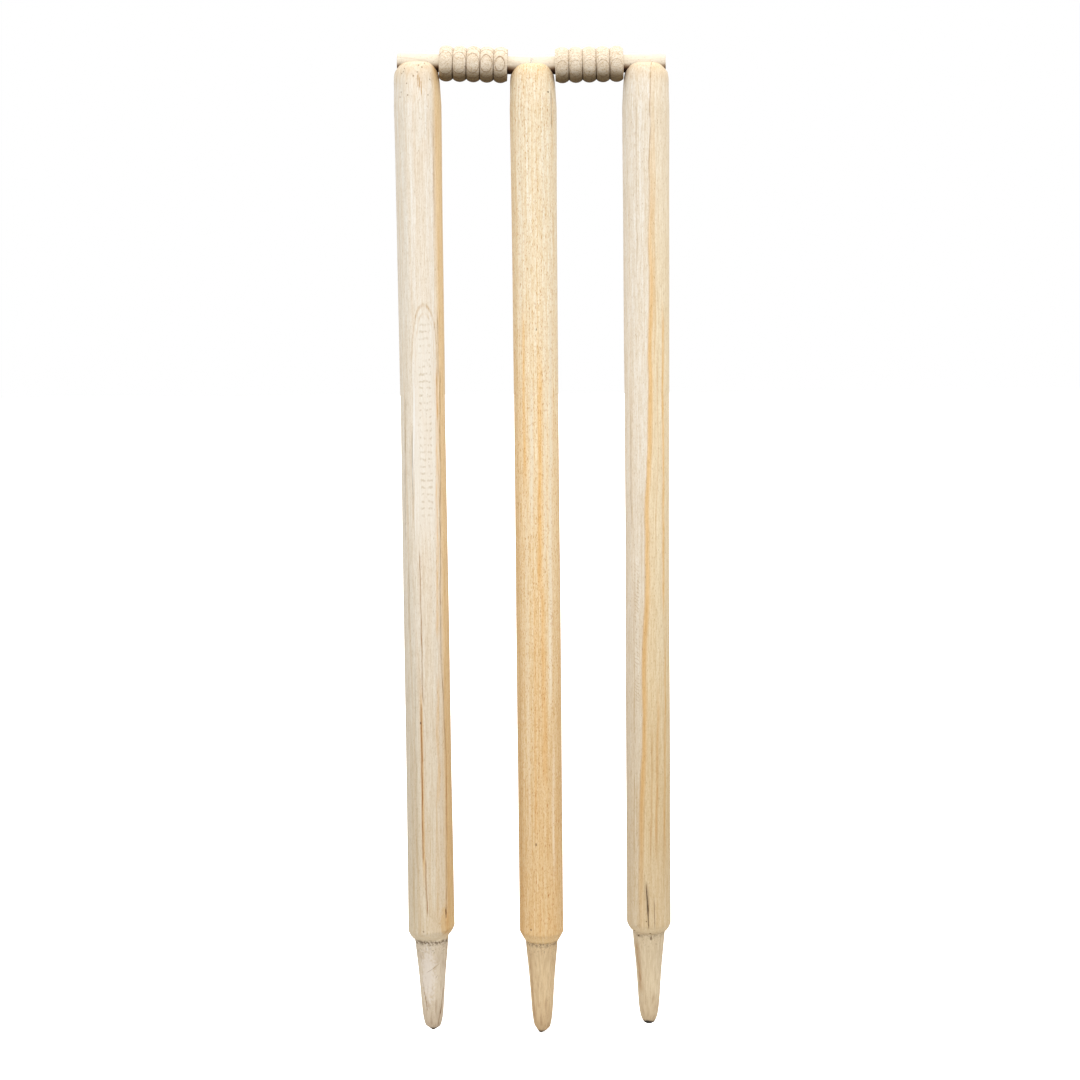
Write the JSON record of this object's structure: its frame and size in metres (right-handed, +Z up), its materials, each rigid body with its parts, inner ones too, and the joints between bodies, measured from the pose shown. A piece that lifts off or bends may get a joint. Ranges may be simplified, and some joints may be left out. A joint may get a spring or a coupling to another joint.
{
  "type": "cricket stumps",
  "caption": "Wicket of turned wooden stumps with tapered ground spikes and grooved round tops, bridged by loose ribbed bails.",
  "frame": {"origin": "on the middle stump's axis at the ground line, the foot of its shaft where the driven spike begins", "axes": "+Z up the stumps, +X along the row to the right as the front shows it, +Y from the front to the back"},
  "size_m": [0.2268, 0.0402, 0.8417],
  "materials": {
    "left_stump_wood": "pale cream turned wood, sanded, unvarnished",
    "middle_stump_wood": "yellow-orange turned wood with open pores, sanded, unvarnished",
    "right_stump_wood": "turned wood, half pale and half yellow, sanded, unvarnished",
    "bail_wood": "greyish cream turned wood, sanded, unvarnished"
  },
  "bodies": {
    "middle_stump": {"middle_stump_spike": "middle_stump_wood", "middle_stump_shaft": "middle_stump_wood", "middle_stump_head": "middle_stump_wood"},
    "left_stump": {"left_stump_spike": "left_stump_wood", "left_stump_shaft": "left_stump_wood", "left_stump_head": "left_stump_wood"},
    "right_stump": {"right_stump_spike": "right_stump_wood", "right_stump_shaft": "right_stump_wood", "right_stump_head": "right_stump_wood"},
    "left_bail": {"left_bail": "bail_wood"},
    "right_bail": {"right_bail": "bail_wood"}
  },
  "joints": [
    {"name": "left_stump_pull", "type": "slide", "parent": "middle_stump", "child": "left_stump", "axis": [0, 0, 1], "range_m": [0, 0.1]},
    {"name": "right_stump_pull", "type": "slide", "parent": "middle_stump", "child": "right_stump", "axis": [0, 0, 1], "range_m": [0, 0.1]},
    {"name": "left_bail_lift", "type": "slide", "parent": "left_stump", "child": "left_bail", "axis": [0, 0, 1], "range_m": [0, 0.06]},
    {"name": "right_bail_lift", "type": "slide", "parent": "right_stump", "child": "right_bail", "axis": [0, 0, 1], "range_m": [0, 0.06]}
  ]
}
